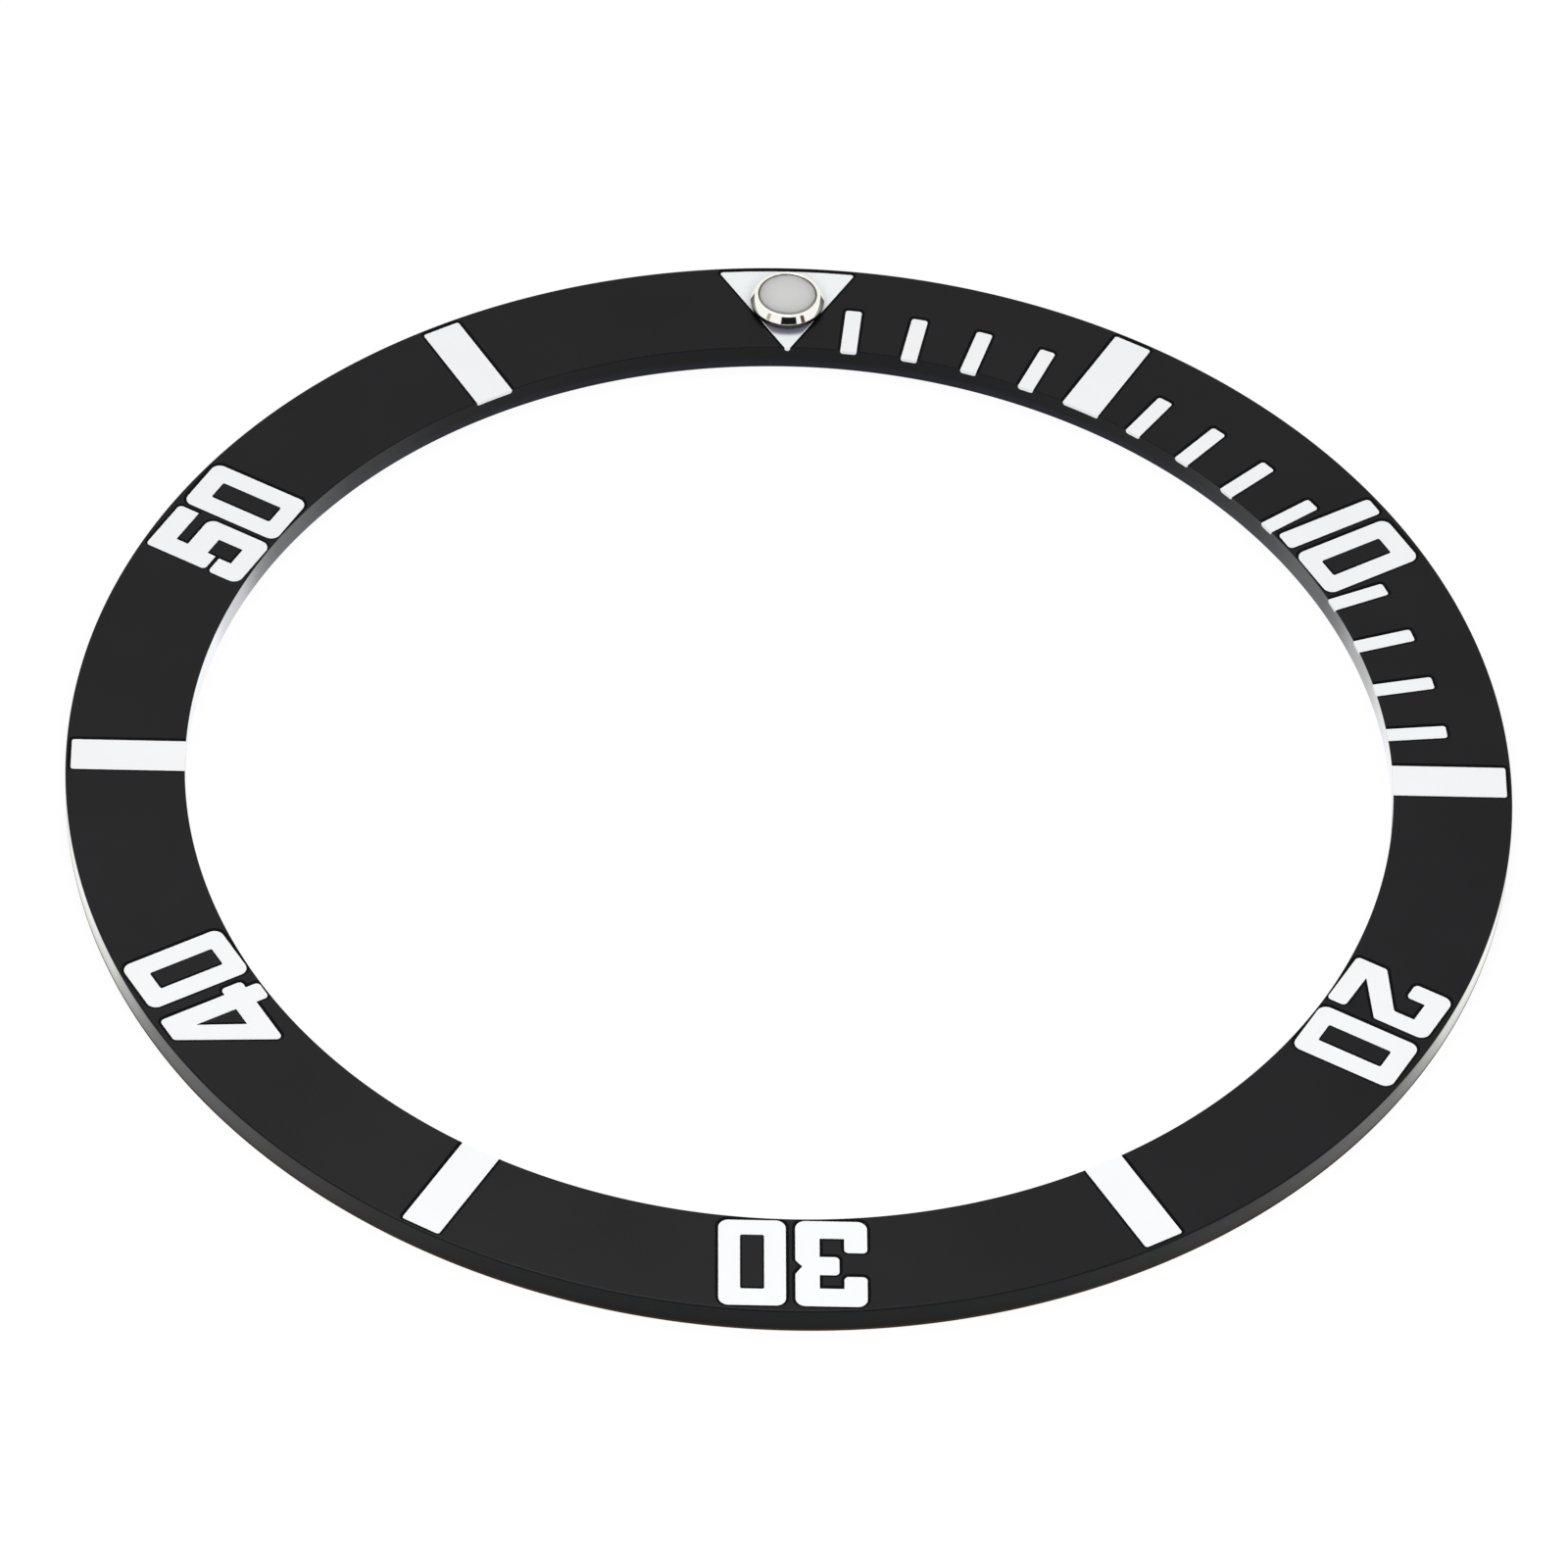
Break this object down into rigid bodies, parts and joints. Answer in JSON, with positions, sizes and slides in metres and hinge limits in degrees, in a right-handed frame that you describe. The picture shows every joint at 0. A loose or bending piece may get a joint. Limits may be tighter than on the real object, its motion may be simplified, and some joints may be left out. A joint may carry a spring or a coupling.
{
  "type": "watch bezel insert",
  "caption": "Flat ring insert for a dive watch bezel, with paint filled minute marks, numerals and a triangle, and a raised round pearl on the triangle.",
  "frame": {"origin": "centre of the ring on its flat underside", "axes": "+Z along the ring's axis, out of the marked face; +Y towards the triangle; +X towards the bar at minute 15"},
  "size_m": [0.038, 0.038, 0.0012],
  "materials": {
    "ring_coating": "satin black anodised",
    "mark_paint": "smooth white paint",
    "cup_metal": "polished",
    "lume": "satin, pale grey"
  },
  "bodies": {
    "root": {"insert_ring": "ring_coating", "triangle_inlay": "mark_paint", "tick_inlay_01": "mark_paint", "tick_inlay_02": "mark_paint", "tick_inlay_03": "mark_paint", "tick_inlay_04": "mark_paint", "tick_inlay_06": "mark_paint", "tick_inlay_07": "mark_paint", "tick_inlay_08": "mark_paint", "tick_inlay_09": "mark_paint", "tick_inlay_11": "mark_paint", "tick_inlay_12": "mark_paint", "tick_inlay_13": "mark_paint", "tick_inlay_14": "mark_paint", "bar_inlay_05": "mark_paint", "bar_inlay_15": "mark_paint", "bar_inlay_25": "mark_paint", "bar_inlay_35": "mark_paint", "bar_inlay_45": "mark_paint", "bar_inlay_55": "mark_paint", "numeral_10_one": "mark_paint", "numeral_10_zero": "mark_paint", "numeral_20_two": "mark_paint", "numeral_20_zero": "mark_paint", "numeral_30_three": "mark_paint", "numeral_30_zero": "mark_paint", "numeral_40_four": "mark_paint", "numeral_40_zero": "mark_paint", "numeral_50_five": "mark_paint", "numeral_50_zero": "mark_paint", "pearl_cup": "cup_metal", "pearl_lume": "lume"}
  },
  "joints": []
}
